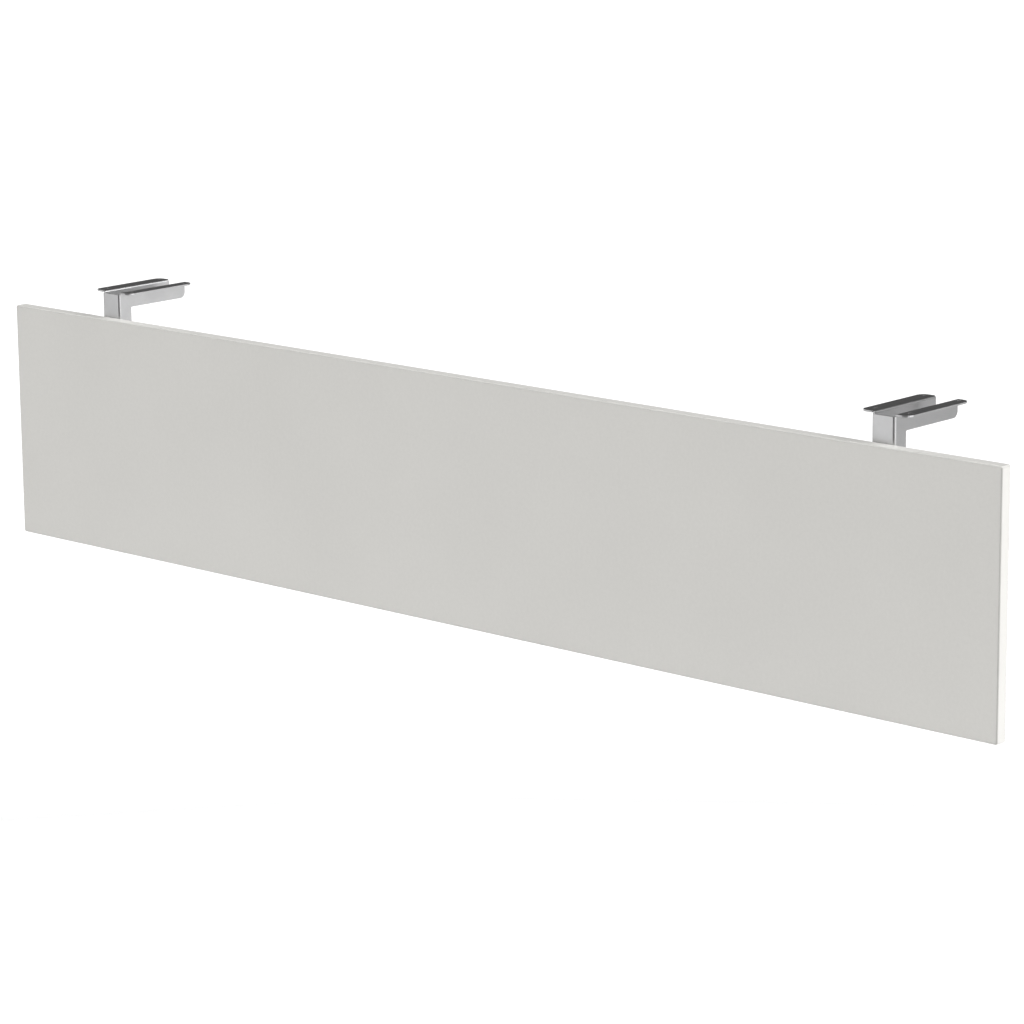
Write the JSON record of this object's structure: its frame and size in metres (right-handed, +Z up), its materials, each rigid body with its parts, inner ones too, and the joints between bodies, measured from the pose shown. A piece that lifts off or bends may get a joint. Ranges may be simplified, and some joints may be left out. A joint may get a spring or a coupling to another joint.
{
  "type": "desk privacy panel",
  "caption": "Long edge-banded board that hangs below the front of a desk top from two folded steel brackets.",
  "frame": {"origin": "midway along the panel, where the plane of the panel's back face meets the plane of the flange tops, which is the underside of the desk top", "axes": "+X along the panel, +Y from the panel's back face along the bracket arms towards the sitter, +Z up"},
  "size_m": [1.6, 0.133, 0.344],
  "materials": {
    "chipboard": "raw chipboard core, not seen from outside",
    "facing": "light warm grey melamine facing with a fine pearl texture",
    "edging": "light warm grey satin plastic edge band with rounded arrises",
    "bracket_steel": "bright plated folded sheet steel",
    "screw_steel": "zinc-plated steel",
    "insert_brass": "plain turned brass"
  },
  "bodies": {
    "root": {"board_core": "chipboard", "face_sheet_front": "facing", "face_sheet_back": "facing", "edge_band_left": "edging", "edge_band_right": "edging", "edge_band_top": "edging", "edge_band_bottom": "edging", "bracket_left": "bracket_steel", "bracket_right": "bracket_steel", "screw_left_1": "screw_steel", "washer_left_1": "screw_steel", "insert_left_1": "insert_brass", "screw_left_2": "screw_steel", "washer_left_2": "screw_steel", "insert_left_2": "insert_brass", "screw_left_3": "screw_steel", "washer_left_3": "screw_steel", "insert_left_3": "insert_brass", "screw_right_1": "screw_steel", "washer_right_1": "screw_steel", "insert_right_1": "insert_brass", "screw_right_2": "screw_steel", "washer_right_2": "screw_steel", "insert_right_2": "insert_brass", "screw_right_3": "screw_steel", "washer_right_3": "screw_steel", "insert_right_3": "insert_brass"}
  },
  "joints": []
}
